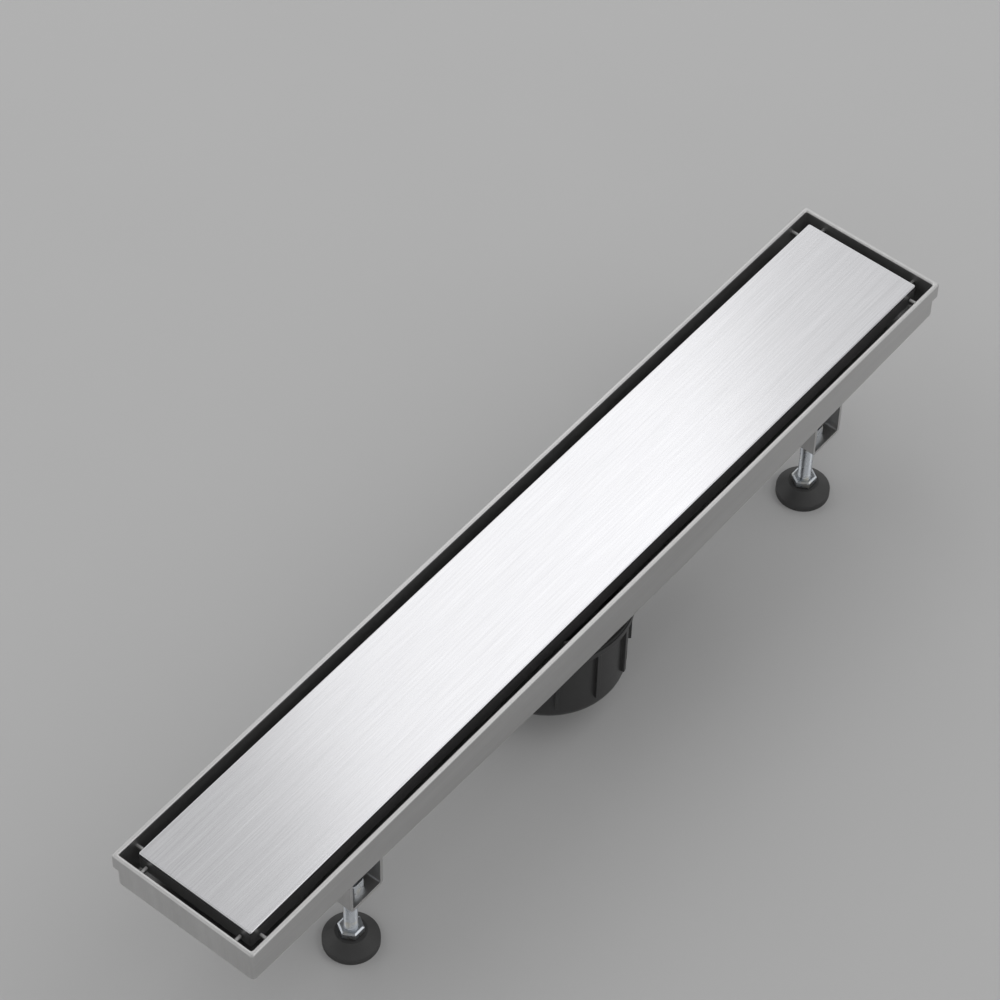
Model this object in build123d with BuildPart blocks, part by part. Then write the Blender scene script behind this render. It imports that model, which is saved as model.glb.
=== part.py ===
from build123d import *
import os
from math import atan, cos

# Linear shower drain for a tiled floor, with a reversible tray cover, a swivelling trap and screw feet.
# Millimetres. The origin is on the ground under the middle of the channel, +X runs along it, +Z is up.

os.makedirs("parts", exist_ok=True)

# Channel: one folded stainless sheet, hemmed along its upper edge
channel_length = 600.0  # over the rim
channel_width = 97.0  # over the rim
channel_sheet = 1.5
hem_height = 10.0
end_depth = 26.0  # from the rim to the floor at the two ends
outlet_depth = 34.0  # from the rim to the level floor round the outlet
level_length = 120.0  # level stretch of floor round the outlet
fold_radius = 2.0  # inside the folds of the floor
corner_radius = 1.0  # inside the welded corners
rim_edge_radius = 1.2  # where the sheet is doubled over
rim_corner_radius = 1.6  # outside, at the corners of the rim

# Reversible cover: a shallow tray that lies brushed side up
cover_gap = 7.0  # water slot between the cover and the rim
cover_height = 12.0
cover_sheet = 1.5
cover_edge_radius = 0.8  # outside, along folds grooved to be sharp
cover_corner_radius = 1.2  # outside, at the welded corners

# Locating pins that centre the cover in the opening
pin_diameter = 2.5
pin_depth = 7.0  # axis below the rim
pin_inset = 13.3  # from the opening's corner
pin_clearance = 0.5  # from the pin's tip to the cover
pin_chamfer = 0.4

# Brackets on the channel floor that the cover stands on
rest_end_inset = 47.0  # outer brackets, from the ends of the opening
rest_middle_offset = 100.0  # inner brackets, from the middle of the channel
rest_strip = 20.0
rest_sheet = 2.0
rest_fold_radius = 1.0  # inside
rest_wing = 8.0  # breadth of the wings that carry the cover's skirt
rest_setback = 0.3  # from the cover's side in to the wing's edge

# Trap: moulded pot with a pipe spigot
pot_ground_gap = 20.0  # under the pot when the feet are screwed right out
pot_diameter = 90.0
pot_wall = 3.0
pot_base_radius = 7.0
pot_flange_diameter = 96.0
pot_flange_thickness = 4.0
pot_neck_bore = 64.0
pot_neck_depth = 14.0
pot_neck_wall = 3.0
rib_count = 10
rib_width = 2.4
rib_depth = 2.2
rib_length = 40.0
rib_half_gap = 45.0  # degrees each side of the spigot that hold no rib
spigot_diameter = 50.0
spigot_wall = 2.5
spigot_reach = 118.0  # from the trap's axis to the pipe's end
spigot_sill = 4.0  # from the pot's floor up to the pipe's bore
spigot_top_gap = 2.5  # from the pipe up to the top of the pot
spigot_stop_place = 64.0
spigot_stop_width = 4.0
spigot_stop_height = 2.0
spigot_chamfer = 1.6

# Clamp ring and gasket that hold the pot to the channel
outlet_hole_clearance = 2.3  # round the ring's skirt
gasket_thickness = 2.5
gasket_setback = 0.5  # from the edge of the pot's flange
gasket_width = 11.0
clamp_flange_overlap = 4.5  # on the floor round the outlet hole
clamp_flange_thickness = 2.5
clamp_thread_clearance = 0.3
clamp_wall = 3.2
clamp_reach = 13.0  # of the threaded skirt into the pot
clamp_lip = 2.1  # ledge that the dip tube sits on
clamp_lip_thickness = 2.0
clamp_key_count = 4
clamp_key_width = 7.0
clamp_key_depth = 3.0
clamp_key_turn = 45.0  # degrees from the channel's length to the first key notch

# Cup that holds the water, and the dip tube with its seal
cup_pull_clearance = 0.9  # when the cup is drawn out through the clamp ring
cup_wall = 2.0
cup_height = 32.0
cup_chamfer = 2.0
cup_foot_diameter = 6.0
cup_foot_height = 3.0
cup_foot_inset = 7.5  # from the cup's side to the middle of a foot
cup_foot_count = 3
dip_annulus = 5.0  # waterway between the tube and the cup
dip_wall = 2.0
dip_flange_thickness = 5.0
dip_flange_clearance = 0.4
dip_mouth_clearance = 1.2
dip_funnel_height = 12.0
dip_end_gap = 6.0  # from the cup's floor up to the tube's end
dip_fin_count = 3
dip_fin_thickness = 2.0
dip_fin_clearance = 0.3
dip_fin_turn = 60.0  # degrees from the spigot to the first fin
dip_grip_width = 5.0
dip_grip_height = 3.0
seal_width = 2.0
seal_height = 3.0
seal_clearance = 0.05

# Hair strainer
strainer_sheet = 1.0
strainer_seat_depth = 1.5
strainer_seat_width = 2.0
strainer_clearance = 0.3
strainer_dish_depth = 6.0
strainer_dish_run = 5.0  # breadth of the dish's sloping side
strainer_hole = 4.0  # square
strainer_pitch = 6.0
strainer_rows = 5

# Screw feet
foot_end_inset = 95.0  # from the ends of the channel
foot_half_spread = 30.0  # across the channel, from the middle
foot_travel = 18.0
foot_travel_gap = 2.0  # left over the stud at the end of its travel
stud_diameter = 8.0
stud_chamfer = 0.8
stud_tenon_diameter = 7.0
stud_collar_flats = 13.0
stud_collar_height = 5.0
thread_clearance = 0.05
pad_diameter = 32.0
pad_height = 10.0
pad_rim_height = 4.0
pad_neck_diameter = 18.0
pad_floor = 4.0
pad_clearance = 0.1
nut_flats = 13.0
weld_nut_height = 6.5
lock_nut_height = 4.0
nut_chamfer = 0.6

# Folded rails under the channel that carry the feet
rail_strip = 26.0
rail_span = 84.0
rail_depth = 32.0  # from the channel down, at the stud
rail_sheet = 2.0
rail_fold_radius = 1.0  # inside
rail_hole_clearance = 0.5

# Heights, from the ground up
pot_floor = pot_ground_gap + pot_wall
spigot_radius = spigot_diameter / 2
spigot_bore_radius = spigot_radius - spigot_wall
spigot_height = pot_floor + spigot_sill + spigot_bore_radius
pot_top = spigot_height + spigot_radius + spigot_top_gap
channel_underside = pot_top + gasket_thickness
outlet_floor = channel_underside + channel_sheet
rim_top = outlet_floor + outlet_depth
end_floor = rim_top - end_depth
rest_top = rim_top - cover_height

# Plan sizes that follow from the rim and the gap
rim_width = 2 * channel_sheet
opening_length = channel_length - 2 * rim_width
opening_width = channel_width - 2 * rim_width
cover_length = opening_length - 2 * cover_gap
cover_width = opening_width - 2 * cover_gap
floor_slope = (end_floor - outlet_floor) / (opening_length / 2 - level_length / 2)

# The trap's diameters, from the pot's neck inwards and outwards
neck_bore_radius = pot_neck_bore / 2
neck_radius = neck_bore_radius + pot_neck_wall
clamp_radius = neck_bore_radius - clamp_thread_clearance
clamp_bore_radius = clamp_radius - clamp_wall
clamp_lip_radius = clamp_bore_radius - clamp_lip
outlet_hole_radius = clamp_radius + outlet_hole_clearance
clamp_flange_radius = outlet_hole_radius + clamp_flange_overlap
cup_radius = clamp_lip_radius - cup_pull_clearance
cup_bore_radius = cup_radius - cup_wall
dip_radius = cup_bore_radius - dip_annulus
dip_bore_radius = dip_radius - dip_wall
dip_mouth_radius = clamp_lip_radius - dip_mouth_clearance - dip_wall


def floor_height(x):
    """Height of the channel floor's wet face at a place along the channel."""
    return outlet_floor + floor_slope * max(0.0, abs(x) - level_length / 2)


def underside_height(x):
    """Height of the channel floor's outer face on its sloping stretches."""
    return floor_height(x) - channel_sheet / cos(atan(floor_slope))


def trough(margin):
    """The water space of the channel, grown by a margin on its floor and walls."""
    with BuildPart() as form:
        with BuildSketch(Plane.XZ):
            with BuildLine():
                Polyline(
                    (-opening_length / 2, rim_top),
                    (-opening_length / 2, end_floor),
                    (-level_length / 2, outlet_floor),
                    (level_length / 2, outlet_floor),
                    (opening_length / 2, end_floor),
                    (opening_length / 2, rim_top),
                    close=True,
                )
            make_face()
            if margin:
                offset(amount=margin, kind=Kind.INTERSECTION)
        extrude(amount=opening_width / 2 + margin, both=True)
        if margin:
            split(bisect_by=Plane.XY.offset(rim_top), keep=Keep.BOTTOM)
        fillet(form.edges().filter_by(Axis.Z), corner_radius + margin)
        wall_edges = form.faces().filter_by(lambda face: abs(face.normal_at().Z) < 0.5).edges()
        floor_edges = form.faces().filter_by(lambda face: face.normal_at().Z < -0.5).edges()
        fillet(floor_edges.filter_by(lambda edge: edge in wall_edges), fold_radius + margin)
    return form.part


# Channel: the sheet wrapped round the water space, doubled over outwards along the rim
outer_trough = trough(channel_sheet)
water_space = trough(0.0)
with BuildPart() as channel:
    add(outer_trough)
    with BuildSketch(Plane.XY.offset(rim_top)):
        RectangleRounded(channel_length, channel_width, rim_corner_radius)
    extrude(amount=-hem_height)
    add(water_space, mode=Mode.SUBTRACT)
    fillet(channel.edges().group_by(Axis.Z)[-1], rim_edge_radius)
    with Locations((0, 0, outlet_floor)):
        Hole(outlet_hole_radius)
channel.part.label = "channel"
export_step(channel.part, "parts/channel.step")

# Cover: a tray folded down on four sides, open underneath
with BuildPart() as cover_tray:
    with BuildSketch(Plane.XY.offset(rest_top)):
        RectangleRounded(cover_length, cover_width, cover_corner_radius)
    extrude(amount=cover_height)
    fillet(cover_tray.edges().group_by(Axis.Z)[-1], cover_edge_radius)
    with BuildSketch(Plane.XY.offset(rest_top)):
        Rectangle(cover_length - 2 * cover_sheet, cover_width - 2 * cover_sheet)
    extrude(amount=cover_height - cover_sheet, mode=Mode.SUBTRACT)
cover_tray.part.label = "cover_tray"
export_step(cover_tray.part, "parts/cover_tray.step")

# Locating pins: two at each corner, one on the long wall and one on the end wall
pin_height = rim_top - pin_depth
pin_length = cover_gap - pin_clearance
pin_locations = []
for end in (-1, 1):
    for side in (-1, 1):
        along = end * (opening_length / 2 - pin_inset)
        across = side * (opening_width / 2 - pin_inset)
        long_wall = (along, side * opening_width / 2, pin_height)
        end_wall = (end * opening_length / 2, across, pin_height)
        pin_locations.append(Location(long_wall, (side * 90, 0, 0)))
        pin_locations.append(Location(end_wall, (0, end * -90, 0)))
with BuildPart() as pin_form:
    Cylinder(pin_diameter / 2, pin_length, align=(Align.CENTER, Align.CENTER, Align.MIN))
    chamfer(pin_form.edges().group_by(Axis.Z)[-1], pin_chamfer)
with BuildPart() as locating_pins:
    with Locations(*pin_locations):
        add(pin_form.part)
locating_pins.part.label = "locating_pins"
export_step(locating_pins.part, "parts/locating_pins.step")

# Cover rests: strips folded up from the sloping floor, with level wings outwards under the cover's skirt
rest_outer_radius = rest_fold_radius + rest_sheet
fold_tolerance = 0.01
rest_wing_edge = cover_width / 2 - rest_setback
rest_upright = rest_wing_edge - rest_wing
rest_outer_place = opening_length / 2 - rest_end_inset
rest_places = (-rest_outer_place, -rest_middle_offset, rest_middle_offset, rest_outer_place)
for number, place in enumerate(rest_places, start=1):
    near = place - rest_strip / 2
    far = place + rest_strip / 2
    with BuildPart() as cover_rest:
        with BuildSketch(Plane.XZ):
            with BuildLine():
                Polyline(
                    (near, floor_height(near)),
                    (far, floor_height(far)),
                    (far, rest_top),
                    (near, rest_top),
                    close=True,
                )
            make_face()
        extrude(amount=rest_upright, both=True)
        base = cover_rest.faces().sort_by(Axis.Z)[0]
        fillet(base.edges().filter_by(Axis.Y, reverse=True), rest_outer_radius)
        open_faces = cover_rest.faces().filter_by(Axis.X) + cover_rest.faces().sort_by(Axis.Z)[-1:]
        offset(amount=-rest_sheet, openings=open_faces)
        with BuildSketch(Plane.XY.offset(rest_top)):
            with Locations((place, 0)):
                Rectangle(rest_strip, 2 * rest_wing_edge)
                Rectangle(rest_strip, 2 * (rest_upright - rest_sheet), mode=Mode.SUBTRACT)
        extrude(amount=-rest_sheet)
        folds = cover_rest.edges().filter_by(Axis.X)
        inside_folds = folds.filter_by(lambda edge: abs(abs(edge.center().Y) - rest_upright) < fold_tolerance)
        fillet(inside_folds.group_by(Axis.Z)[-1], rest_fold_radius)
        folds = cover_rest.edges().filter_by(Axis.X).group_by(Axis.Z)[-1]
        fillet(folds.filter_by(lambda edge: abs(edge.center().Y) < rest_upright), rest_outer_radius)
    cover_rest.part.label = f"cover_rest_{number}"
    export_step(cover_rest.part, f"parts/cover_rest_{number}.step")

# Trap pot: a ribbed cup with a side spigot, closed by a flanged deck with a threaded neck
pot_radius = pot_diameter / 2
pot_inside_radius = pot_radius - pot_wall
deck_bottom = pot_top - pot_flange_thickness
neck_bottom = pot_top - pot_neck_depth
with BuildPart() as pipe_space:
    with BuildSketch(Plane.YZ):
        with Locations((0, spigot_height)):
            Circle(spigot_bore_radius)
    extrude(amount=spigot_reach)
    with BuildSketch(Plane.XY):
        Circle((neck_radius + pot_inside_radius) / 2)
    extrude(amount=pot_top, mode=Mode.SUBTRACT)
with BuildPart() as siphon_pot:
    with BuildSketch(Plane.XY.offset(pot_ground_gap)):
        Circle(pot_radius)
    extrude(amount=pot_top - pot_ground_gap)
    fillet(siphon_pot.edges().group_by(Axis.Z)[0], pot_base_radius)
    with BuildSketch(Plane.XY.offset(deck_bottom)):
        Circle(pot_flange_diameter / 2)
    extrude(amount=pot_flange_thickness)
    with BuildSketch(Plane.YZ):
        with Locations((0, spigot_height)):
            Circle(spigot_radius)
    extrude(amount=spigot_reach)
    chamfer(siphon_pot.edges().group_by(Axis.X)[-1], spigot_chamfer)
    with BuildSketch(Plane.YZ.offset(spigot_stop_place)):
        with Locations((0, spigot_height)):
            Circle(spigot_radius + spigot_stop_height)
    extrude(amount=spigot_stop_width)
    with BuildSketch(Plane.XY.offset(deck_bottom)):
        with PolarLocations(pot_radius, rib_count, rib_half_gap, 360 - 2 * rib_half_gap, endpoint=True):
            Rectangle(2 * rib_depth, rib_width)
    extrude(amount=-rib_length)
    with BuildSketch(Plane.XZ):
        with BuildLine():
            Polyline(
                (0, pot_floor),
                (pot_inside_radius, pot_floor),
                (pot_inside_radius, deck_bottom),
                (neck_radius, deck_bottom),
                (neck_radius, neck_bottom),
                (neck_bore_radius, neck_bottom),
                (neck_bore_radius, pot_top),
                (0, pot_top),
                close=True,
            )
        make_face()
    revolve(axis=Axis.Z, mode=Mode.SUBTRACT)
    add(pipe_space.part, mode=Mode.SUBTRACT)
siphon_pot.part.label = "siphon_pot"
export_step(siphon_pot.part, "parts/siphon_pot.step")

# Gasket between the channel's underside and the pot's flange
gasket_radius = pot_flange_diameter / 2 - gasket_setback
with BuildPart() as pot_gasket:
    with BuildSketch(Plane.XY.offset(pot_top)):
        Circle(gasket_radius)
        Circle(gasket_radius - gasket_width, mode=Mode.SUBTRACT)
    extrude(amount=gasket_thickness)
pot_gasket.part.label = "pot_gasket"
export_step(pot_gasket.part, "parts/pot_gasket.step")

# Clamp ring: a flange on the channel floor, with a skirt screwed down into the pot's neck
clamp_top = outlet_floor + clamp_flange_thickness
clamp_bottom = pot_top - clamp_reach
clamp_ledge = clamp_bottom + clamp_lip_thickness
strainer_seat = clamp_top - strainer_seat_depth
strainer_seat_radius = clamp_bore_radius + strainer_seat_width
with BuildPart() as clamp_ring:
    with BuildSketch(Plane.XZ):
        with BuildLine():
            Polyline(
                (clamp_lip_radius, clamp_bottom),
                (clamp_radius, clamp_bottom),
                (clamp_radius, outlet_floor),
                (clamp_flange_radius, outlet_floor),
                (clamp_flange_radius, clamp_top),
                (strainer_seat_radius, clamp_top),
                (strainer_seat_radius, strainer_seat),
                (clamp_bore_radius, strainer_seat),
                (clamp_bore_radius, clamp_ledge),
                (clamp_lip_radius, clamp_ledge),
                close=True,
            )
        make_face()
    revolve(axis=Axis.Z)
    with BuildSketch(Plane.XY.offset(clamp_top)):
        with PolarLocations(clamp_flange_radius, clamp_key_count, clamp_key_turn):
            Rectangle(2 * clamp_key_depth, clamp_key_width)
    extrude(amount=-clamp_flange_thickness, mode=Mode.SUBTRACT)
clamp_ring.part.label = "clamp_ring"
export_step(clamp_ring.part, "parts/clamp_ring.step")

# Cup that holds the water seal, standing on three small feet in the pot
cup_bottom = pot_floor + cup_foot_height
cup_floor = cup_bottom + cup_wall
with BuildPart() as trap_cup:
    with BuildSketch(Plane.XY.offset(cup_bottom)):
        Circle(cup_radius)
    extrude(amount=cup_height)
    chamfer(trap_cup.edges().group_by(Axis.Z)[0], cup_chamfer)
    with BuildSketch(Plane.XY.offset(cup_floor)):
        Circle(cup_bore_radius)
    extrude(amount=cup_height, mode=Mode.SUBTRACT)
    with BuildSketch(Plane.XY.offset(pot_floor)):
        with PolarLocations(cup_radius - cup_foot_inset, cup_foot_count):
            Circle(cup_foot_diameter / 2)
    extrude(amount=cup_foot_height)
trap_cup.part.label = "trap_cup"
export_step(trap_cup.part, "parts/trap_cup.step")

# Dip tube: a funnel that hangs by its flange on the clamp ring's ledge, with fins that centre it in the cup
dip_bottom = cup_floor + dip_end_gap
dip_top = clamp_ledge + dip_flange_thickness
dip_flange_radius = clamp_bore_radius - dip_flange_clearance
seal_middle = clamp_ledge + dip_flange_thickness / 2
seal_outer_radius = clamp_bore_radius - seal_clearance
seal_inner_radius = seal_outer_radius - seal_width
groove_radius = seal_inner_radius - seal_clearance
groove_bottom = seal_middle - seal_height / 2 - seal_clearance
groove_top = seal_middle + seal_height / 2 + seal_clearance
fin_root = dip_radius - dip_wall / 2
fin_tip = cup_bore_radius - dip_fin_clearance
with BuildPart() as dip_tube:
    with BuildSketch(Plane.XZ):
        with BuildLine():
            Polyline(
                (dip_bore_radius, dip_bottom),
                (dip_radius, dip_bottom),
                (dip_radius, dip_top - dip_funnel_height),
                (dip_mouth_radius + dip_wall, clamp_ledge),
                (dip_flange_radius, clamp_ledge),
                (dip_flange_radius, groove_bottom),
                (groove_radius, groove_bottom),
                (groove_radius, groove_top),
                (dip_flange_radius, groove_top),
                (dip_flange_radius, dip_top),
                (dip_mouth_radius, dip_top),
                (dip_bore_radius, dip_top - dip_funnel_height),
                close=True,
            )
        make_face()
    revolve(axis=Axis.Z)
    with BuildSketch(Plane.XY.offset(cup_floor + dip_fin_clearance)):
        with PolarLocations((fin_root + fin_tip) / 2, dip_fin_count, dip_fin_turn):
            Rectangle(fin_tip - fin_root, dip_fin_thickness)
    extrude(amount=cup_height - cup_wall - dip_end_gap)
    with BuildSketch(Plane.XY.offset(dip_top)):
        Rectangle(2 * dip_mouth_radius + dip_wall, dip_grip_width)
    extrude(amount=-dip_grip_height)
dip_tube.part.label = "dip_tube"
export_step(dip_tube.part, "parts/dip_tube.step")

# Flat seal ring in the dip tube's groove
with BuildPart() as dip_seal:
    with BuildSketch(Plane.XY.offset(seal_middle)):
        Circle(seal_outer_radius)
        Circle(seal_inner_radius, mode=Mode.SUBTRACT)
    extrude(amount=seal_height / 2, both=True)
dip_seal.part.label = "dip_seal"
export_step(dip_seal.part, "parts/dip_seal.step")

# Hair strainer: a pressed dish with square holes that drops into the clamp ring's mouth
strainer_radius = strainer_seat_radius - strainer_clearance
strainer_top = strainer_seat + strainer_sheet
strainer_floor = strainer_seat - strainer_dish_depth
shoulder_radius = clamp_bore_radius - strainer_clearance
dish_radius = shoulder_radius - strainer_dish_run
strainer_span = (strainer_rows - 1) * strainer_pitch / 2
with BuildPart() as strainer:
    with BuildSketch(Plane.XZ):
        with BuildLine():
            Polyline(
                (0, strainer_floor),
                (dish_radius, strainer_floor),
                (shoulder_radius, strainer_seat),
                (strainer_radius, strainer_seat),
                (strainer_radius, strainer_top),
                (shoulder_radius - strainer_sheet, strainer_top),
                (dish_radius - strainer_sheet, strainer_floor + strainer_sheet),
                (0, strainer_floor + strainer_sheet),
                close=True,
            )
        make_face()
    revolve(axis=Axis.Z)
    with BuildSketch(Plane.XY.offset(strainer_floor)):
        with GridLocations(strainer_pitch, strainer_pitch, strainer_rows, strainer_rows):
            Rectangle(strainer_hole, strainer_hole)
        for side in (-1, 1):
            outer_row = side * (strainer_span + strainer_pitch)
            with Locations((outer_row, 0)):
                with GridLocations(strainer_pitch, strainer_pitch, 1, strainer_rows - 2):
                    Rectangle(strainer_hole, strainer_hole)
            with Locations((0, outer_row)):
                with GridLocations(strainer_pitch, strainer_pitch, strainer_rows - 2, 1):
                    Rectangle(strainer_hole, strainer_hole)
    extrude(amount=strainer_sheet, mode=Mode.SUBTRACT)
strainer.part.label = "strainer"
export_step(strainer.part, "parts/strainer.step")

# Rails under the channel: strips folded up on both sides, their edges cut to the fall of the floor
foot_place = channel_length / 2 - foot_end_inset
rail_bottom = underside_height(foot_place) - rail_depth
rail_outer_radius = rail_fold_radius + rail_sheet
foot_spots = (-foot_half_spread, foot_half_spread)
for rail_name, place in (("foot_rail_left", -foot_place), ("foot_rail_right", foot_place)):
    near = place - rail_strip / 2
    far = place + rail_strip / 2
    with BuildPart() as foot_rail:
        with BuildSketch(Plane.XZ):
            with BuildLine():
                Polyline(
                    (near, rail_bottom),
                    (far, rail_bottom),
                    (far, underside_height(far)),
                    (near, underside_height(near)),
                    close=True,
                )
            make_face()
        extrude(amount=rail_span / 2, both=True)
        fillet(foot_rail.edges().filter_by(Axis.Y).group_by(Axis.Z)[0], rail_outer_radius)
        open_faces = foot_rail.faces().filter_by(Axis.Y) + foot_rail.faces().sort_by(Axis.Z)[-1:]
        offset(amount=-rail_sheet, openings=open_faces)
        with Locations(*[(place, spot, rail_bottom + rail_sheet) for spot in foot_spots]):
            Hole(stud_diameter / 2 + rail_hole_clearance)
    foot_rail.part.label = rail_name
    export_step(foot_rail.part, f"parts/{rail_name}.step")


def nut(height):
    """Hexagon nut standing on the origin, with a plain bore and its corners turned off at both ends."""
    with BuildPart() as form:
        with BuildSketch():
            Circle(nut_flats / 3**0.5)
        extrude(amount=height)
        chamfer(form.edges(), nut_chamfer)
        with BuildSketch():
            RegularPolygon(nut_flats / 2, 6, major_radius=False)
        extrude(amount=height, mode=Mode.INTERSECT)
        with BuildSketch():
            Circle(stud_diameter / 2 + thread_clearance)
        extrude(amount=height, mode=Mode.SUBTRACT)
    return form.part


# Nuts: one welded on each rail over the hole, one run up against the rail from below
weld_nut_bottom = rail_bottom + rail_sheet
foot_axes = [(place, spot) for place in (-foot_place, foot_place) for spot in foot_spots]
for nut_name, height, bottom in (
    ("foot_weld_nuts", weld_nut_height, weld_nut_bottom),
    ("foot_lock_nuts", lock_nut_height, rail_bottom - lock_nut_height),
):
    nut_form = nut(height)
    with BuildPart() as foot_nuts:
        with Locations(*[(x, y, bottom) for x, y in foot_axes]):
            add(nut_form)
    foot_nuts.part.label = nut_name
    export_step(foot_nuts.part, f"parts/{nut_name}.step")

# Screw feet: a stud with a hexagon collar, its tenon set in a round pad
stud_top = underside_height(foot_place - stud_diameter / 2) - foot_travel_gap - foot_travel
for number, (x, y) in enumerate(foot_axes, start=1):
    with BuildPart() as foot_stud:
        with BuildSketch(Plane.XY.offset(pad_floor)):
            with Locations((x, y)):
                Circle(stud_tenon_diameter / 2)
        extrude(amount=pad_height - pad_floor)
        with BuildSketch(Plane.XY.offset(pad_height)):
            with Locations((x, y)):
                RegularPolygon(stud_collar_flats / 2, 6, major_radius=False)
        extrude(amount=stud_collar_height)
        with BuildSketch(Plane.XY.offset(pad_height)):
            with Locations((x, y)):
                Circle(stud_diameter / 2)
        extrude(amount=stud_top - pad_height)
        chamfer(foot_stud.edges().group_by(Axis.Z)[-1], stud_chamfer)
    foot_stud.part.label = f"foot_stud_{number}"
    export_step(foot_stud.part, f"parts/foot_stud_{number}.step")

    with BuildPart() as foot_pad:
        with BuildSketch(Plane.XZ.offset(-y)):
            with BuildLine():
                Polyline(
                    (x, 0),
                    (x + pad_diameter / 2, 0),
                    (x + pad_diameter / 2, pad_rim_height),
                    (x + pad_neck_diameter / 2, pad_height),
                    (x + stud_tenon_diameter / 2 + pad_clearance, pad_height),
                    (x + stud_tenon_diameter / 2 + pad_clearance, pad_floor),
                    (x, pad_floor),
                    close=True,
                )
            make_face()
        revolve(axis=Axis((x, y, 0), (0, 0, 1)))
    foot_pad.part.label = f"foot_pad_{number}"
    export_step(foot_pad.part, f"parts/foot_pad_{number}.step")
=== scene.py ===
from math import cos, pi, radians, sin, sqrt

import bmesh
import bpy
from mathutils import Matrix, Vector


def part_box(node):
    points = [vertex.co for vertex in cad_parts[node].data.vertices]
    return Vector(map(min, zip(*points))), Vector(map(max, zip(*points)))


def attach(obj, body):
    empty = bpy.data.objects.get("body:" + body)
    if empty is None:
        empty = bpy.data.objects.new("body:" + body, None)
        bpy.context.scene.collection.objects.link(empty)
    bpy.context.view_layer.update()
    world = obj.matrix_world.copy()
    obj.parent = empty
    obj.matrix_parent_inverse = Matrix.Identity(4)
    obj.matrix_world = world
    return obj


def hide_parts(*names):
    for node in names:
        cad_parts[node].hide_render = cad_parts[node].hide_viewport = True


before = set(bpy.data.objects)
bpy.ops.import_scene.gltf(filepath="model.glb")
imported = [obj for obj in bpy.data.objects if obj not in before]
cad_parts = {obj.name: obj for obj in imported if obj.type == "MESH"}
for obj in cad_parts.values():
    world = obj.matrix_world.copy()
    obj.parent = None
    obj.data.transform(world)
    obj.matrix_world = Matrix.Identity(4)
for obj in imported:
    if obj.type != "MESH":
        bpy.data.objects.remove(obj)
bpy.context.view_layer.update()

# Looks of a linear shower drain, made around its solid model. Metres, in the model's own frame:
# the ground is at z = 0 under the middle of the channel, +X runs along the channel, +Z is up.

MM = 0.001
FEET = range(1, 5)
RAILS = ("foot_rail_left", "foot_rail_right")

# Channel and cover
SHEET = 1.5 * MM
RIM_WIDTH = 2 * SHEET  # the sheet is doubled over
CHANNEL_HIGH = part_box("channel")[1]
COVER_LOW, COVER_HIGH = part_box("cover_tray")
RIM_TOP = CHANNEL_HIGH.z
OPENING_X = CHANNEL_HIGH.x - RIM_WIDTH
OPENING_Y = CHANNEL_HIGH.y - RIM_WIDTH
COVER_SHADE_AND_DULL_DEPTHS = (0.5 * MM, 2.5 * MM)  # under its top, where its sides turn dull and take painted shade
CHANNEL_SHADE_DEPTHS = (0.5 * MM, 3.0 * MM)  # under the rim, where the painted shade inside the channel starts

# Stud of a screw foot: its thread, hexagon collar and tenon
STUD_RADIUS = 4.0 * MM
STUD_CHAMFER = 0.8 * MM
THREAD_PITCH = 1.25 * MM
THREAD_DEPTH = 0.68 * MM
THREAD_CREST = 0.08  # half of the crest's flat, as a share of the pitch
THREAD_FLANK = 0.30  # breadth of a flank, as a share of the pitch
THREAD_RUNOUT = 1.5 * THREAD_PITCH
THREAD_CORNERS = 28  # round the stud
THREAD_ROWS = 6  # to each turn of the thread
HEXAGON_CORNERS = 6
COLLAR_FLATS = 13.0 * MM
COLLAR_HEIGHT = 5.0 * MM
COLLAR_CHAMFER = 0.6 * MM
COLLAR_FACE_RADIUS = 0.97 * COLLAR_FLATS / 2
TENON_RADIUS = 3.5 * MM

# Weld beads between the rails and the channel
BEAD_PLACES = (-27.0 * MM, 0.0, 27.0 * MM)  # their middles, across the channel
BEAD_LENGTH = 15.0 * MM
BEAD_LEG = 2.2 * MM
BEAD_RIPPLE = 1.6 * MM  # from one ripple to the next
BEAD_RIPPLE_SHARE = 0.10  # height of a ripple, as a share of the leg
BEAD_END_POWER = 6  # the higher, the blunter the bead's ends
BEAD_FACE = 0.78  # reach of the bead's face beside the seam, as a share of the leg
BEAD_CROWN = 0.10  # further reach in the middle of the face
BEAD_STEPS = 40
BEAD_FACE_POINTS = 7

MERGE_DISTANCE = 0.002 * MM  # points nearer than this are one
SAME_PLANE = 0.01 * MM  # points nearer than this to a plane lie in it

# Floor
FLOOR_TONE = 0.57
FLOOR_MOTTLE = 0.015  # share by which the tone varies
FLOOR_LUMPS = 7  # of the mottle, to a metre
FLOOR_RADIUS = 3.2
FLOOR_FADE_START = 0.30 * FLOOR_RADIUS
FLOOR_FADE_END = 0.95 * FLOOR_RADIUS
FLOOR_SEGMENTS = 96

# Camera: where the photograph was taken from
CAMERA_AIM = Vector((10.1, 44.5, 115.0)) * MM
CAMERA_DISTANCE = 2.096
CAMERA_AZIMUTH = radians(38.284)
CAMERA_ELEVATION = radians(50.574)
CAMERA_ROLL = radians(1.303)
CAMERA_LENS = 136.67
CAMERA_SENSOR = 36.0
CAMERA_NEAREST = 0.05
CAMERA_BACK = Vector((
    -cos(CAMERA_ELEVATION) * cos(CAMERA_AZIMUTH),
    -cos(CAMERA_ELEVATION) * sin(CAMERA_AZIMUTH),
    sin(CAMERA_ELEVATION),
))
CAMERA_PLACE = CAMERA_AIM + CAMERA_DISTANCE * CAMERA_BACK

# Surround: its tone level with the drain and overhead
WORLD_HORIZON = 0.62
WORLD_ZENITH = 0.46

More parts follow.
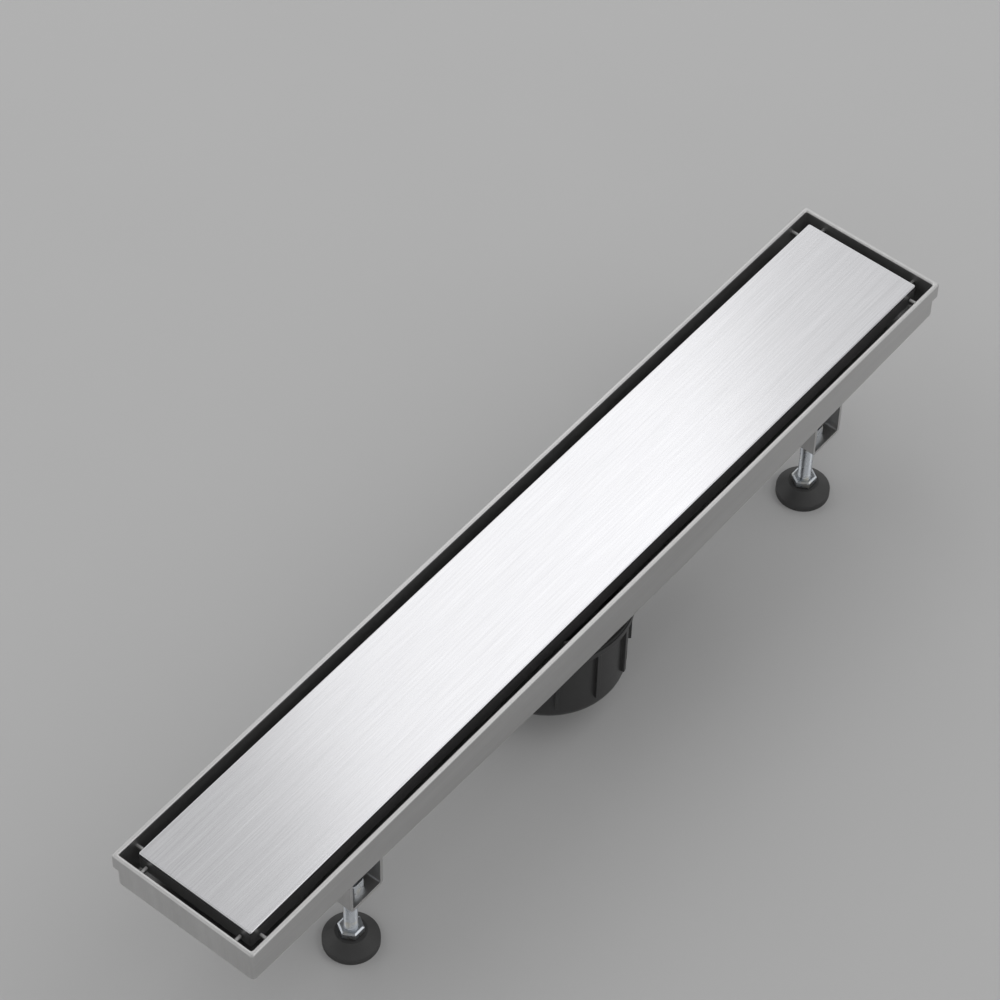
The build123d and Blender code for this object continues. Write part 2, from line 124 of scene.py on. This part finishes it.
# Lamps that the cover mirrors to the camera, at a share of the way along it. Metres and watts.
MIRRORED_DISTANCE = 2.5
MIRRORED_BREADTH = 1.4
MIRRORED_LAMPS = (
    dict(name="wide_strip", share=0.48, length=1.95, power=1.04, twist=radians(-22)),
    dict(name="cover_strip", share=0.46, length=0.65, power=2.04, twist=radians(-22)),
    dict(name="far_strip", share=0.86, length=0.34, power=0.33, twist=radians(-44)),
)

# Lamps for the whole drain and for the edges of its rim
STUDIO_LAMPS = (
    dict(name="key", direction=(-0.44, 0.77, 0.50), distance=2.6, length=2.8, breadth=2.4, power=9.4),
    dict(name="near_edge", direction=(0.40, -0.52, 0.75), distance=2.2, length=1.1, breadth=2.2, power=6.1),
    dict(name="far_edge", direction=(0.46, 0.78, 0.43), distance=2.3, length=1.4, breadth=1.7, power=3.0),
    dict(name="end_edge", direction=(0.90, 0.32, 0.30), distance=2.3, length=1.1, breadth=1.35, power=1.9),
)

# Sockets of a Mix node that blends colours
MIX_SHARE, MIX_FIRST, MIX_SECOND = 0, 6, 7
MIX_COLOUR = 2

# Finishes
BEVEL_SAMPLES = 6
NOISE_MIDDLE = 0.5
STEEL_WARMTH = 0.006  # of stainless steel's grey
SIDE_FACING = 0.6  # a face whose direction has more than this along an axis is folded down there


class Value:
    """Something that varies over a surface. Arithmetic on a number of this kind adds Math nodes."""

    def __init__(self, nodes, socket):
        self.nodes = nodes
        self.socket = socket

    def math(self, operation, *operands):
        return self.nodes.add("ShaderNodeMath", {"operation": operation}, dict(enumerate(operands)))

    def __add__(self, other):
        return self.math("ADD", self, other)

    def __radd__(self, other):
        return self.math("ADD", other, self)

    def __sub__(self, other):
        return self.math("SUBTRACT", self, other)

    def __rsub__(self, other):
        return self.math("SUBTRACT", other, self)

    def __mul__(self, other):
        return self.math("MULTIPLY", self, other)

    def __rmul__(self, other):
        return self.math("MULTIPLY", other, self)

    def __abs__(self):
        return self.math("ABSOLUTE", self)

    def __gt__(self, other):
        return self.math("GREATER_THAN", self, other)

    def __lt__(self, other):
        return self.math("LESS_THAN", self, other)

    def sign(self):
        return self.math("SIGN", self)

    def root(self):
        return self.math("SQRT", self)

    def step(self, low, high):
        """Goes smoothly from 0 to 1 as the value goes from low to high."""
        inputs = {"Value": self, "From Min": low, "From Max": high}
        return self.nodes.add("ShaderNodeMapRange", {"interpolation_type": "SMOOTHSTEP"}, inputs)


class Nodes:
    """A node tree in the making."""

    def __init__(self, tree):
        self.tree = tree

    def add(self, kind, settings=None, inputs=None, output=0):
        """Adds a node: its settings first, then the numbers, colours or links of its sockets."""
        node = self.tree.nodes.new(kind)
        for name, setting in (settings or {}).items():
            setattr(node, name, setting)
        for name, content in (inputs or {}).items():
            self.fill(node.inputs[name], content)
        return Value(self, node.outputs[output])

    def fill(self, socket, content):
        """Sets a socket to a plain number or colour, or links it to a value."""
        if isinstance(content, Value):
            self.tree.links.new(content.socket, socket)
        else:
            socket.default_value = content

    def coordinates(self, output):
        """The three parts of one of the texture coordinates."""
        vector = self.add("ShaderNodeTexCoord", output=output)
        first = self.add("ShaderNodeSeparateXYZ", None, {0: vector})
        return [Value(self, socket) for socket in first.socket.node.outputs]


class Finish(Nodes):
    """A material in the making: one principled shader, and the nodes that vary it over the surface."""

    def __init__(self, name):
        self.material = bpy.data.materials.new(name)
        self.material.use_nodes = True
        super().__init__(self.material.node_tree)
        self.shader = self.tree.nodes["Principled BSDF"]

    def set(self, **inputs):
        """Sets the shader's own sockets, such as base_color or roughness."""
        for name, content in inputs.items():
            self.fill(self.shader.inputs[name.replace("_", " ").title()], content)

    def place(self):
        """The three coordinates of a point in the model's frame, which move with the piece."""
        return self.coordinates("Object")

    def facing(self):
        """The three parts of the surface's direction in the model's frame."""
        return self.coordinates("Normal")

    def noise(self, x, y, z, detail=2.0, roughness=0.5):
        """Soft noise between about 0.2 and 0.8, with one lump to each unit of the three coordinates."""
        point = self.add("ShaderNodeCombineXYZ", None, {"X": x, "Y": y, "Z": z})
        inputs = {"Vector": point, "Scale": 1.0, "Detail": detail, "Roughness": roughness}
        return self.add("ShaderNodeTexNoise", None, inputs)

    def lumps(self, count, upright=None, shift=0.0, **fineness):
        """Noise with so many lumps to a metre, or another number of them upright."""
        x, y, z = self.place()
        return self.noise(x * count, y * count, z * (upright or count) + shift, **fineness)

    def streaks(self, grain, lengthwise, crosswise, layer, **fineness):
        """Noise along a sheet's grain, with so many lumps to a metre each way. Each layer has its own."""
        along, across = grain
        return self.noise(along * lengthwise, across * crosswise, layer, **fineness)

    def blend(self, share, first, second):
        """A colour that goes from the first to the second."""
        settings = {"data_type": "RGBA", "clamp_factor": True}
        inputs = {MIX_SHARE: share, MIX_FIRST: first, MIX_SECOND: second}
        return self.add("ShaderNodeMix", settings, inputs, output=MIX_COLOUR)

    def relief(self, height, depth, strength, edge_radius=0.0):
        """Fine relief, from a height between 0 and 1 and its depth in metres, on edges that may be eased."""
        inputs = {"Height": height, "Distance": depth, "Strength": strength}
        if edge_radius:
            settings = {"samples": BEVEL_SAMPLES}
            inputs["Normal"] = self.add("ShaderNodeBevel", settings, {"Radius": edge_radius})
        self.set(normal=self.add("ShaderNodeBump", None, inputs))


def swayed(middle, *noises):
    """A value about its middle, swayed by noises that each count by a share."""
    value = middle
    for noise, share in noises:
        value = value + share * (noise - NOISE_MIDDLE)
    return value


def grey(level, warmth=0.0):
    """A linear grey, which may be a little warmer than neutral."""
    return (level * (1 + warmth), level, level * (1 - warmth), 1.0)


def sheet_grain(finish, top):
    """Coordinates along and across a folded sheet's grain, which follow the sheet round its folds."""
    x, y, z = finish.place()
    face_x, face_y, _ = finish.facing()
    drop = top - z
    along = x + x.sign() * drop * (abs(face_x) > SIDE_FACING)
    across = y + y.sign() * drop * (abs(face_y) > SIDE_FACING)
    return along, across


def brushed_cover():
    """Long-grain brushed stainless: fine straight scratches, and down the cover's sides in the gap, rougher
    steel with painted shade.
    """
    finish = Finish("brushed_cover")
    grain = sheet_grain(finish, COVER_HIGH.z)
    strokes = finish.streaks(grain, lengthwise=5, crosswise=1500, layer=0.0, roughness=0.7)
    hairs = finish.streaks(grain, lengthwise=14, crosswise=5200, layer=3.0, detail=1.0)
    bands = finish.streaks(grain, lengthwise=1.2, crosswise=160, layer=7.0)
    clouds = finish.streaks(grain, lengthwise=7, crosswise=20, layer=11.0)
    drags = finish.streaks(grain, lengthwise=24, crosswise=800, layer=15.0, detail=3.0, roughness=0.6)
    tone = swayed(0.5, (strokes, 0.5), (hairs, 0.4), (bands, 0.3), (drags, 0.75))
    dark, light = (0.60, 0.60, 0.615, 1.0), (0.80, 0.80, 0.82, 1.0)
    _, _, z = finish.place()
    # Mask for the cover's sides in the gap: it blends the colour towards a dark grey as painted shade, and
    # raises the roughness.
    side = (COVER_HIGH.z - z).step(*COVER_SHADE_AND_DULL_DEPTHS)
    finish.set(
        base_color=finish.blend(side * 0.7, finish.blend(tone, dark, light), grey(0.47)),
        metallic=1.0,
        roughness=swayed(0.18, (strokes, 0.08), (bands, 0.04), (clouds, 0.05)) + 0.26 * side,
    )
    finish.relief(0.5 * strokes + 0.5 * hairs, depth=0.04 * MM, strength=0.16)
    return finish.material


def satin_sheet(name, shaded_inside=False):
    """Cold-rolled stainless sheet: satin, with a faint grain; inside the channel it is darkened below the
    rim with painted shade, and rougher there.
    """
    finish = Finish(name)
    sheet = sheet_grain(finish, RIM_TOP)
    grain = finish.streaks(sheet, lengthwise=30, crosswise=2200, layer=1.0, roughness=0.6)
    rolled = finish.streaks(sheet, lengthwise=4, crosswise=160, layer=5.0)
    clouds = finish.streaks(sheet, lengthwise=14, crosswise=30, layer=9.0, detail=3.0)
    tone = swayed(0.5, (grain, 0.6), (rolled, 0.6), (clouds, 0.5))
    colour = finish.blend(tone, grey(0.50, STEEL_WARMTH), grey(0.68, STEEL_WARMTH))
    roughness = swayed(0.36, (grain, 0.12), (clouds, 0.14))
    if shaded_inside:
        # Painted shade: inside the opening, the steel turns darker and rougher with depth below the rim.
        x, y, z = finish.place()
        within = (abs(x) < OPENING_X + SHEET / 2) * (abs(y) < OPENING_Y + SHEET / 2)
        painted_shade = within * (RIM_TOP - z).step(*CHANNEL_SHADE_DEPTHS)
        colour = finish.blend(painted_shade * (0.6 + 0.4 * clouds), colour, grey(0.37))
        roughness = roughness + 0.16 * painted_shade
    finish.set(base_color=colour, metallic=1.0, roughness=roughness)
    finish.relief(grain, depth=0.03 * MM, strength=0.35, edge_radius=0.3 * MM)
    return finish.material


def turned_steel():
    """Bright steel with fine tool marks in rings round the drain's axis."""
    finish = Finish("turned_steel")
    x, y, z = finish.place()
    marks = 3600  # to a metre
    rings = finish.noise((x * x + y * y).root() * marks, z * marks, 0.0)
    patches = finish.lumps(180)
    dark, light = grey(0.66, STEEL_WARMTH), grey(0.80, STEEL_WARMTH)
    finish.set(
        base_color=finish.blend(0.6 * rings + 0.4 * patches, dark, light),
        metallic=1.0,
        roughness=swayed(0.20, (rings, 0.12), (patches, 0.14)),
    )
    finish.relief(rings, depth=0.01 * MM, strength=0.3, edge_radius=0.2 * MM)
    return finish.material


def cut_wire():
    """Dull drawn wire of the locating pins, a little darker where the shear bruised it."""
    finish = Finish("cut_wire")
    bruise = finish.lumps(500, detail=3.0)
    drawn = finish.lumps(1800, detail=1.0)
    finish.set(
        base_color=finish.blend(bruise, grey(0.30, STEEL_WARMTH), grey(0.52, STEEL_WARMTH)),
        metallic=1.0,
        roughness=swayed(0.42, (bruise, 0.20)),
    )
    finish.relief(drawn, depth=0.02 * MM, strength=0.4, edge_radius=0.2 * MM)
    return finish.material


def zinc_plate():
    """Zinc plated steel: bluish and faintly mottled, with a straw tint in places."""
    finish = Finish("zinc_plate")
    mottle = finish.lumps(420, detail=3.0)
    tint = finish.lumps(130, shift=4.0)
    bluish = finish.blend(mottle, (0.46, 0.49, 0.53, 1.0), (0.66, 0.69, 0.72, 1.0))
    straw = (0.66, 0.62, 0.50, 1.0)
    finish.set(
        base_color=finish.blend(tint.step(0.52, 0.72) * 0.5, bluish, straw),
        metallic=1.0,
        roughness=swayed(0.30, (mottle, 0.22)),
    )
    finish.relief(mottle, depth=0.02 * MM, strength=0.3, edge_radius=0.25 * MM)
    return finish.material


def moulded(name, dark, light, roughness, texture_depth):
    """Moulded plastic: a fine spark-eroded texture, slight flow clouds and a little rub in places."""
    finish = Finish(name)
    pebble = finish.lumps(2600, roughness=0.6)
    flow = finish.lumps(45, upright=90, detail=3.0)
    rub = finish.lumps(300, upright=120, detail=4.0, roughness=0.7).step(0.58, 0.78)
    finish.set(
        base_color=finish.blend(swayed(0.5, (flow, 0.8), (pebble, 0.4)), dark, light),
        roughness=swayed(roughness, (flow, 0.12), (pebble, 0.16)) + 0.08 * rub,
    )
    finish.relief(pebble, depth=texture_depth, strength=0.5, edge_radius=0.4 * MM)
    return finish.material


def rubber():
    """Matt black rubber with a dusty bloom."""
    finish = Finish("seal_rubber")
    bloom = finish.lumps(160, detail=4.0, roughness=0.65)
    grain = finish.lumps(1500)
    finish.set(
        base_color=finish.blend(bloom.step(0.4, 0.75), grey(0.014), grey(0.045)),
        roughness=swayed(0.72, (bloom, 0.2), (grain, 0.1)),
    )
    finish.relief(grain, depth=0.03 * MM, strength=0.4, edge_radius=0.3 * MM)
    return finish.material


def weld_metal():
    """Weld bead: dull silver with a straw heat tint."""
    finish = Finish("weld_metal")
    mottle = finish.lumps(600, detail=3.0)
    heat = finish.lumps(240, shift=2.0)
    silver = finish.blend(mottle, grey(0.34, 0.01), grey(0.58, 0.01))
    straw = (0.42, 0.36, 0.27, 1.0)
    finish.set(
        base_color=finish.blend(heat.step(0.45, 0.7) * 0.6, silver, straw),
        metallic=1.0,
        roughness=swayed(0.38, (mottle, 0.25)),
    )
    finish.relief(mottle, depth=0.05 * MM, strength=0.4)
    return finish.material


def pale_floor():
    """Plain pale floor that fades into the surround far from the drain."""
    finish = Finish("pale_floor")
    x, y, _ = finish.place()
    mottle = finish.noise(x * FLOOR_LUMPS, y * FLOOR_LUMPS, 0.0, detail=4.0)
    distance = (x * x + y * y).root()
    dark, light = grey(FLOOR_TONE * (1 - FLOOR_MOTTLE)), grey(FLOOR_TONE * (1 + FLOOR_MOTTLE))
    finish.set(
        base_color=finish.blend(mottle, dark, light),
        roughness=0.75,
        alpha=distance.step(FLOOR_FADE_END, FLOOR_FADE_START),
    )
    return finish.material


def new_piece(name, mesh, material, body, replaced=None):
    """Turns a finished bmesh into a piece of the object that rides on a body."""
    data = bpy.data.meshes.new(name)
    mesh.normal_update()
    mesh.to_mesh(data)
    mesh.free()
    data.materials.append(material)
    piece = bpy.data.objects.new(name, data)
    bpy.context.scene.collection.objects.link(piece)
    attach(piece, body)
    if replaced:
        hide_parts(replaced)


def ring(mesh, centre, radius, height, corners):
    """A closed ring of vertices round an upright axis."""
    angles = [2 * pi * i / corners for i in range(corners)]
    return [
        mesh.verts.new((centre.x + radius * cos(a), centre.y + radius * sin(a), height)) for a in angles
    ]


def bridge(mesh, lower, upper):
    """Faces between two rings of as many vertices, facing outwards where the upper one is above."""
    count = len(lower)
    for i in range(count):
        j = (i + 1) % count
        mesh.faces.new((lower[i], lower[j], upper[j], upper[i]))


def smooth(mesh):
    """Shades every face so far smoothly."""
    for face in mesh.faces:
        face.smooth = True


def thread_radius(turns, height, bottom, top):
    """Radius of the thread after so many turns. It runs out at the collar and into the tip's chamfer."""
    from_crest = 0.5 - abs(turns % 1.0 - 0.5)
    cut = min(1.0, max(0.0, (from_crest - THREAD_CREST) / THREAD_FLANK))
    depth = THREAD_DEPTH * min(1.0, (height - bottom) / THREAD_RUNOUT)
    tip = STUD_RADIUS - max(0.0, height - (top - STUD_CHAMFER))
    return min(STUD_RADIUS - depth * cut, tip)


def add_thread(mesh, axis, bottom, top):
    """The threaded length of a stud: rows of vertices that climb along the helix, closed at both ends."""
    row_rise = THREAD_PITCH / THREAD_ROWS
    rows = int((top - bottom) / row_rise) + 2 * THREAD_ROWS
    grid = []
    for row in range(rows):
        line = []
        for corner in range(THREAD_CORNERS):
            share = corner / THREAD_CORNERS
            height = bottom - THREAD_PITCH + row * row_rise + share * THREAD_PITCH
            height = min(top, max(bottom, height))
            radius = thread_radius(row / THREAD_ROWS, height, bottom, top)
            angle = 2 * pi * share
            x = axis.x + radius * cos(angle)
            y = axis.y + radius * sin(angle)
            line.append(mesh.verts.new((x, y, height)))
        grid.append(line)
    for row in range(rows - THREAD_ROWS - 1):
        for corner in range(THREAD_CORNERS):
            last = corner == THREAD_CORNERS - 1
            after = 0 if last else corner + 1
            climb = THREAD_ROWS if last else 0
            near = (grid[row][corner], grid[row + 1][corner])
            far = (grid[row + climb][after], grid[row + climb + 1][after])
            mesh.faces.new((near[0], far[0], far[1], near[1]))
    loose = [v for v in mesh.verts if not v.link_faces]
    bmesh.ops.delete(mesh, geom=loose, context="VERTS")
    bmesh.ops.remove_doubles(mesh, verts=mesh.verts[:], dist=MERGE_DISTANCE)
    bmesh.ops.holes_fill(mesh, edges=[e for e in mesh.edges if e.is_boundary], sides=0)
    smooth(mesh)


def add_collar(mesh, axis, bottom, top):
    """Hexagon collar with its corners turned off, as a nut's are."""
    corner_radius = COLLAR_FLATS / sqrt(3)
    rings = [
        ring(mesh, axis, COLLAR_FACE_RADIUS, bottom, HEXAGON_CORNERS),
        ring(mesh, axis, corner_radius, bottom + COLLAR_CHAMFER, HEXAGON_CORNERS),
        ring(mesh, axis, corner_radius, top - COLLAR_CHAMFER, HEXAGON_CORNERS),
        ring(mesh, axis, COLLAR_FACE_RADIUS, top, HEXAGON_CORNERS),
    ]
    for lower, upper in zip(rings, rings[1:]):
        bridge(mesh, lower, upper)
    mesh.faces.new(rings[0][::-1])
    mesh.faces.new(rings[-1])


def add_tenon(mesh, axis, bottom, top):
    """Plain round end of the stud that sits in its pad."""
    lower = ring(mesh, axis, TENON_RADIUS, bottom, THREAD_CORNERS)
    upper = ring(mesh, axis, TENON_RADIUS, top, THREAD_CORNERS)
    bridge(mesh, lower, upper)
    mesh.faces.new(lower[::-1])
    mesh.faces.new(upper)


def threaded_stud(number, material):
    """Stud of a screw foot: tenon, hexagon collar and a real thread."""
    node = f"foot_stud_{number}"
    low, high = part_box(node)
    axis = (low + high) / 2
    pad_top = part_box(f"foot_pad_{number}")[1].z
    collar_top = pad_top + COLLAR_HEIGHT
    mesh = bmesh.new()
    add_thread(mesh, axis, collar_top, high.z)
    add_collar(mesh, axis, pad_top, collar_top)
    add_tenon(mesh, axis, low.z, pad_top)
    new_piece(f"threaded_stud_{number}", mesh, material, f"foot_{number}", node)


def rail_edge(rail, x):
    """Height of a rail's upper edge on one of its upright sides."""
    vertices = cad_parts[rail].data.vertices
    return max(v.co.z for v in vertices if abs(v.co.x - x) < SAME_PLANE)


def bead_section(mesh, x, outward, along, seam, leg):
    """Section of a weld bead: the corner of the seam, then points round the bead's face."""
    points = [mesh.verts.new((x, along, seam))]
    for i in range(BEAD_FACE_POINTS):
        angle = pi / 2 * i / (BEAD_FACE_POINTS - 1)
        reach = leg * (BEAD_FACE + BEAD_CROWN * sin(2 * angle))
        out = x + outward * reach * cos(angle)
        down = seam - reach * sin(angle)
        points.append(mesh.verts.new((out, along, down)))
    return points


def add_bead(mesh, x, outward, middle, seam):
    """One rippled bead, blunt at both ends."""
    sections = []
    for step in range(BEAD_STEPS + 1):
        share = step / BEAD_STEPS
        along = middle + (share - 0.5) * BEAD_LENGTH
        swell = sqrt(max(0.0, 1 - (2 * share - 1) ** BEAD_END_POWER))
        leg = BEAD_LEG * swell * (1 + BEAD_RIPPLE_SHARE * sin(2 * pi * along / BEAD_RIPPLE))
        sections.append(bead_section(mesh, x, outward, along, seam, leg))
    for before, after in zip(sections, sections[1:]):
        bridge(mesh, before, after)


def weld_beads(rail, material):
    """Short fillet welds that hold a rail to the channel's underside, on both of its upright sides."""
    low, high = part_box(rail)
    mesh = bmesh.new()
    for outward, x in ((-1, low.x), (1, high.x)):
        for middle in BEAD_PLACES:
            add_bead(mesh, x, outward, middle, rail_edge(rail, x))
    bmesh.ops.remove_doubles(mesh, verts=mesh.verts[:], dist=MERGE_DISTANCE)
    bmesh.ops.recalc_face_normals(mesh, faces=mesh.faces[:])
    smooth(mesh)
    new_piece(f"{rail}_welds", mesh, material, "drain_body")


def dress_solids(zinc):
    """Gives every solid its finish."""
    channel = satin_sheet("satin_channel", shaded_inside=True)
    strip = satin_sheet("satin_strips")
    bright = turned_steel()
    pot = moulded("moulded_trap", grey(0.020), grey(0.034), roughness=0.36, texture_depth=0.04 * MM)
    insert = moulded("moulded_insert", grey(0.62), grey(0.72), roughness=0.40, texture_depth=0.02 * MM)
    pad = moulded("moulded_pad", grey(0.030), grey(0.052), roughness=0.52, texture_depth=0.05 * MM)
    seal = rubber()
    finishes = {
        "channel": channel,
        "cover_tray": brushed_cover(),
        "locating_pins": cut_wire(),
        "foot_weld_nuts": zinc,
        "foot_lock_nuts": zinc,
        "clamp_ring": bright,
        "strainer": bright,
        "pot_gasket": seal,
        "dip_seal": seal,
        "siphon_pot": pot,
        "dip_tube": insert,
        "trap_cup": insert,
    }
    for rail in RAILS:
        finishes[rail] = strip
    for number in FEET:
        finishes[f"cover_rest_{number}"] = channel
        finishes[f"foot_pad_{number}"] = pad
        finishes[f"foot_stud_{number}"] = zinc
    for node, material in finishes.items():
        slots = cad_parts[node].data.materials
        slots.clear()
        slots.append(material)


def lay_floor():
    """Round floor under the feet."""
    mesh = bmesh.new()
    bmesh.ops.create_circle(mesh, cap_ends=True, segments=FLOOR_SEGMENTS, radius=FLOOR_RADIUS)
    data = bpy.data.meshes.new("floor")
    mesh.to_mesh(data)
    mesh.free()
    data.materials.append(pale_floor())
    floor = bpy.data.objects.new("floor", data)
    bpy.context.scene.collection.objects.link(floor)


def set_camera():
    """Camera at the photograph's place, angle and framing."""
    data = bpy.data.cameras.new("camera")
    data.lens = CAMERA_LENS
    data.sensor_width = CAMERA_SENSOR
    data.sensor_fit = "HORIZONTAL"
    data.clip_start = CAMERA_NEAREST
    camera = bpy.data.objects.new("camera", data)
    bpy.context.scene.collection.objects.link(camera)
    right = Vector((-CAMERA_BACK.y, CAMERA_BACK.x, 0.0)).normalized()
    up = CAMERA_BACK.cross(right)
    turn = Matrix((right, up, CAMERA_BACK)).transposed() @ Matrix.Rotation(CAMERA_ROLL, 3, "Z")
    camera.matrix_world = Matrix.Translation(CAMERA_PLACE) @ turn.to_4x4()
    bpy.context.scene.camera = camera


def along_cover(share):
    """A point on the middle line of the cover, from its left end at 0 to its right end at 1."""
    return Vector((COVER_LOW.x + share * (COVER_HIGH.x - COVER_LOW.x), 0.0, COVER_HIGH.z))


def mirrored_view(share):
    """Direction in which the cover mirrors the camera's line of sight at a point along it."""
    sight = along_cover(share) - CAMERA_PLACE
    return Vector((sight.x, sight.y, -sight.z))


def softbox(name, direction, distance, length, breadth, power, twist=0.0, share=0.5):
    """Area light aimed at a point along the cover, with its length along the channel before its twist."""
    data = bpy.data.lights.new(name, "AREA")
    data.shape = "RECTANGLE"
    data.size = length
    data.size_y = breadth
    data.energy = power
    light = bpy.data.objects.new(name, data)
    bpy.context.scene.collection.objects.link(light)
    back = Vector(direction).normalized()
    side = (Vector((1.0, 0.0, 0.0)) - back * back.x).normalized()
    turn = Matrix((side, back.cross(side), back)).transposed() @ Matrix.Rotation(twist, 3, "Z")
    light.matrix_world = Matrix.Translation(along_cover(share) + distance * back) @ turn.to_4x4()


def set_light():
    """Soft studio light: a pale surround, strips that the cover mirrors, a key and lamps for the edges."""
    world = bpy.data.worlds.new("surround")
    world.use_nodes = True
    nodes = Nodes(world.node_tree)
    _, _, height = nodes.coordinates("Generated")
    tones = {"Value": height, "To Min": WORLD_HORIZON, "To Max": WORLD_ZENITH}
    tone = nodes.add("ShaderNodeMapRange", None, tones)
    nodes.fill(world.node_tree.nodes["Background"].inputs["Color"], tone)
    bpy.context.scene.world = world
    for lamp in MIRRORED_LAMPS:
        direction = mirrored_view(lamp["share"])
        softbox(direction=direction, distance=MIRRORED_DISTANCE, breadth=MIRRORED_BREADTH, **lamp)
    for lamp in STUDIO_LAMPS:
        softbox(**lamp)


zinc = zinc_plate()
dress_solids(zinc)
for number in FEET:
    threaded_stud(number, zinc)
welds = weld_metal()
for rail in RAILS:
    weld_beads(rail, welds)
lay_floor()
set_camera()
set_light()
bpy.context.scene.view_settings.view_transform = "Standard"
